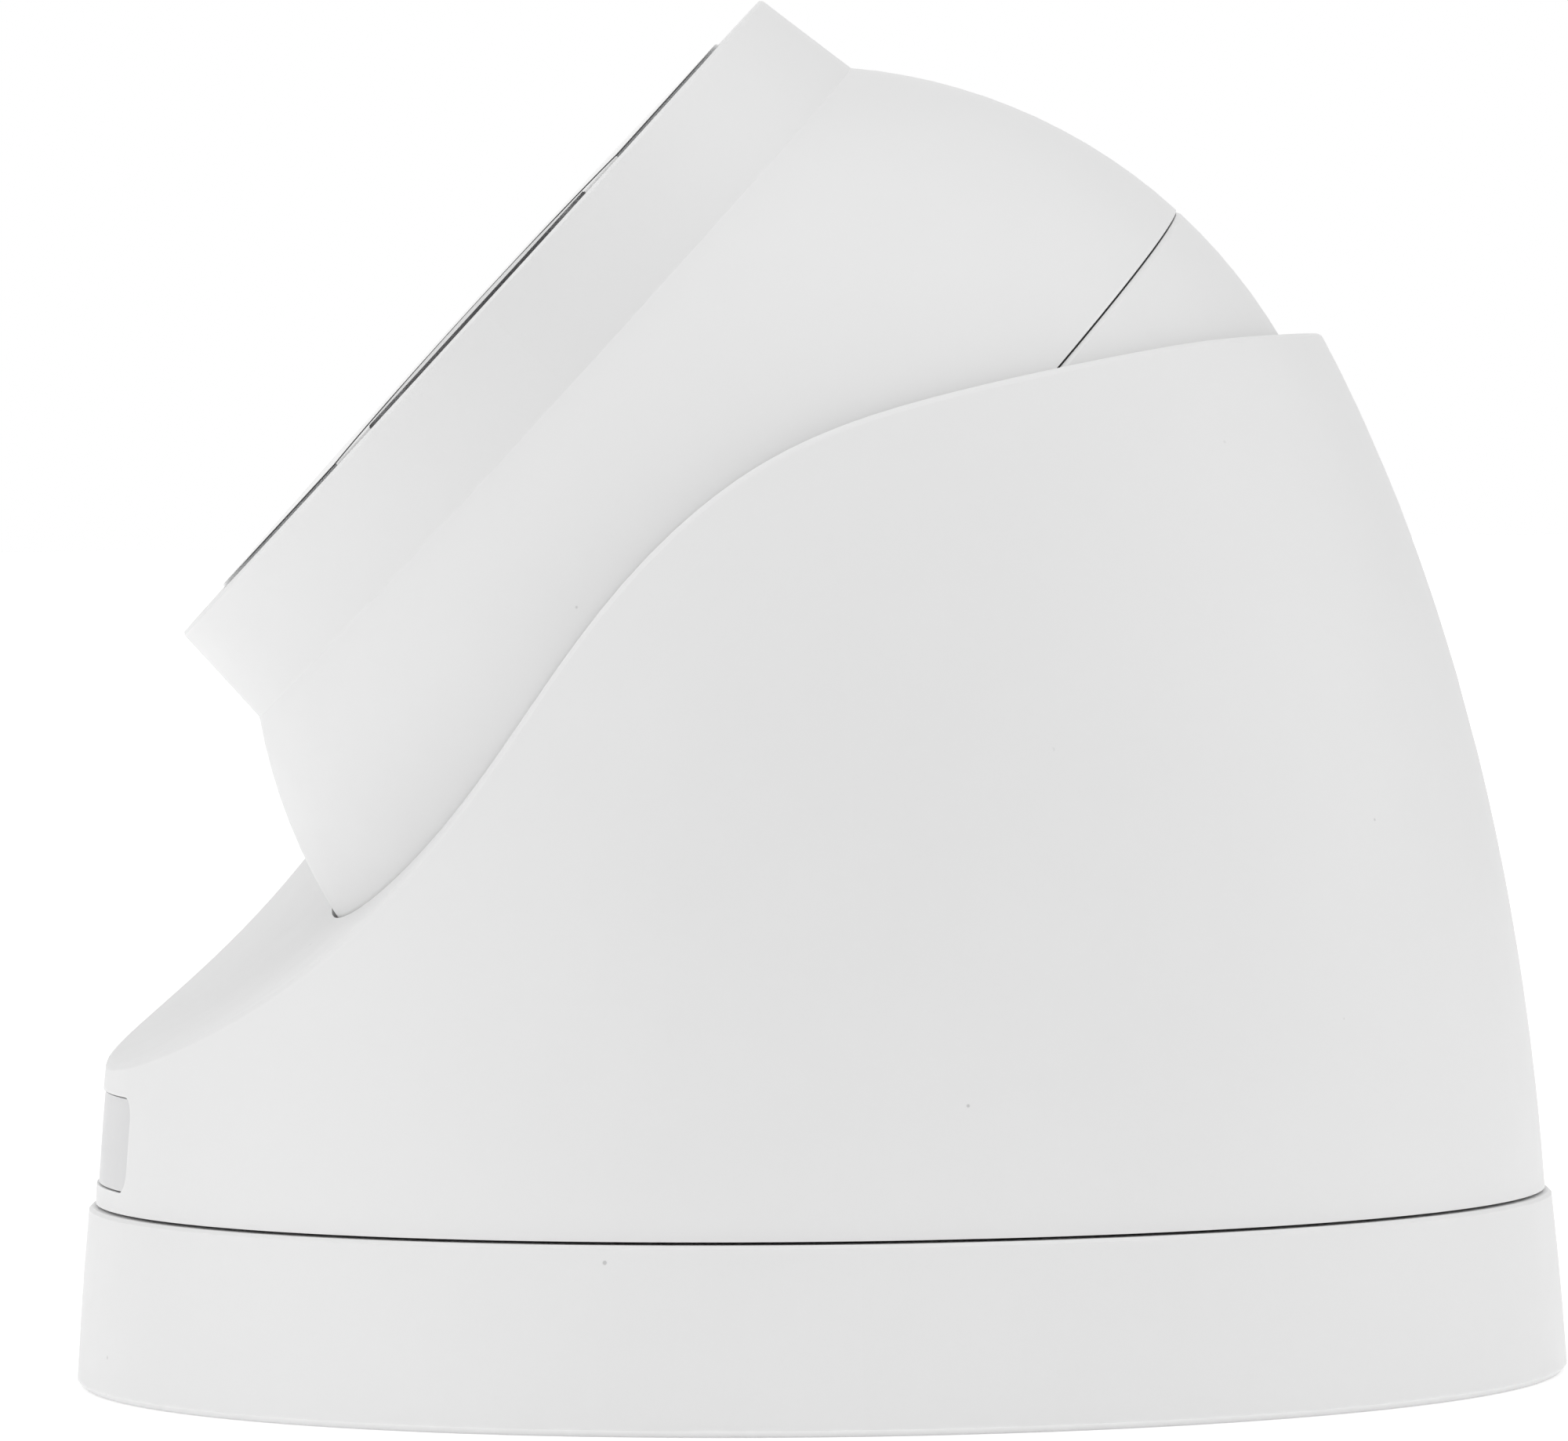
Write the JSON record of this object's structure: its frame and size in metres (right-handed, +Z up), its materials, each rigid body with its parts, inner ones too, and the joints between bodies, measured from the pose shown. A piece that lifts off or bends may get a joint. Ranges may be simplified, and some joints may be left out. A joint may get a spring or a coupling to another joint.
{
  "type": "turret security camera",
  "caption": "Ball-shaped camera head in a scooped white dome cover on a round base; it pans, tilts and rolls to aim, and is locked by a screw.",
  "frame": {"origin": "centre of the base's flat underside, on the pan axis", "axes": "+Z up out of the mounting surface along the pan axis, -Y the way the head looks, +X to the head's side along its tilt axis"},
  "size_m": [0.1384, 0.1384, 0.1275],
  "materials": {
    "white_shell": "fine satin moulding",
    "badge_grey": "satin",
    "foam": "closed-cell foam",
    "black_rubber": "matte",
    "grey_plastic": "matte moulding",
    "steel_screws": "machined",
    "window_glass": "polished",
    "mask_black": "printed gloss black",
    "lamp_diffuser": "smoked translucent",
    "cast_metal": "die cast",
    "circuit_board": "solder mask",
    "sensor_die": "polished",
    "led_white": "phosphor",
    "reflector_metal": "mirror plated",
    "black_plastic": "fine matte",
    "heat_pad_grey": "soft",
    "brass_standoff": "turned",
    "component_yellow": "wrapped",
    "steel_can": "pressed",
    "lens_glass": "coated",
    "filter_glass": "coated",
    "button_red": "moulded"
  },
  "bodies": {
    "base": {"mounting_base": "white_shell", "foam_gasket": "foam", "cable_grommet": "black_rubber"},
    "pan": {"cover": "white_shell", "badge_plate": "badge_grey", "turntable": "grey_plastic", "pan_slip_ring": "grey_plastic", "retaining_ring": "grey_plastic", "retaining_screws": "steel_screws", "friction_pads": "black_rubber", "cover_screws": "steel_screws", "lock_screw": "steel_screws", "lock_shoe": "black_rubber"},
    "tilt": {"ball_seal": "black_rubber"},
    "head": {"front_shell": "white_shell", "rear_shell": "white_shell", "shell_screws": "steel_screws", "card_hatch": "white_shell", "hatch_screws": "steel_screws", "window_frame": "white_shell", "window_gasket": "black_rubber", "front_window": "window_glass", "window_mask": "mask_black", "lamp_windows": "lamp_diffuser", "chassis": "cast_metal", "chassis_screws": "steel_screws", "sensor_board": "circuit_board", "image_sensor": "sensor_die", "board_screws": "steel_screws", "lamp_board": "circuit_board", "lamp_leds": "led_white", "lamp_reflectors": "reflector_metal", "microphone": "black_plastic", "main_board": "circuit_board", "processor": "black_plastic", "heat_pad": "heat_pad_grey", "board_standoffs": "brass_standoff", "power_board": "circuit_board", "power_components": "component_yellow", "card_board": "circuit_board", "card_slot": "steel_can", "reset_switch": "black_plastic", "lens_holder": "black_plastic", "filter_track": "black_plastic", "lens_barrel": "black_plastic", "front_lens": "lens_glass", "rear_lens": "lens_glass", "lens_hood": "black_plastic", "gland_body": "black_plastic", "gland_nut": "black_plastic", "gland_seal": "black_rubber", "breather_vent": "black_plastic"},
    "day_night_filter": {"filter_frame": "black_plastic", "filter_glasses": "filter_glass"},
    "reset": {"reset_button": "button_red"}
  },
  "joints": [
    {"name": "pan", "type": "hinge", "parent": "base", "child": "pan", "pos_m": [0, 0, 0.0165], "axis": [0, 0, 1], "range_deg": [-175, 175]},
    {"name": "tilt", "type": "hinge", "parent": "pan", "child": "tilt", "pos_m": [0, -0.0009, 0.0701], "axis": [1, 0, 0], "range_deg": [-47, 20]},
    {"name": "roll", "type": "hinge", "parent": "tilt", "child": "head", "pos_m": [0, -0.0009, 0.0701], "axis": [0, -0.7314, 0.682], "range_deg": [-175, 175]},
    {"name": "filter_slide", "type": "slide", "parent": "head", "child": "day_night_filter", "axis": [1, 0, 0], "range_m": [0, 0.0072]},
    {"name": "reset_press", "type": "slide", "parent": "head", "child": "reset", "axis": [0, 0.1392, 0.9903], "range_m": [0, 0.0004], "stiffness_N_per_m": 800}
  ]
}
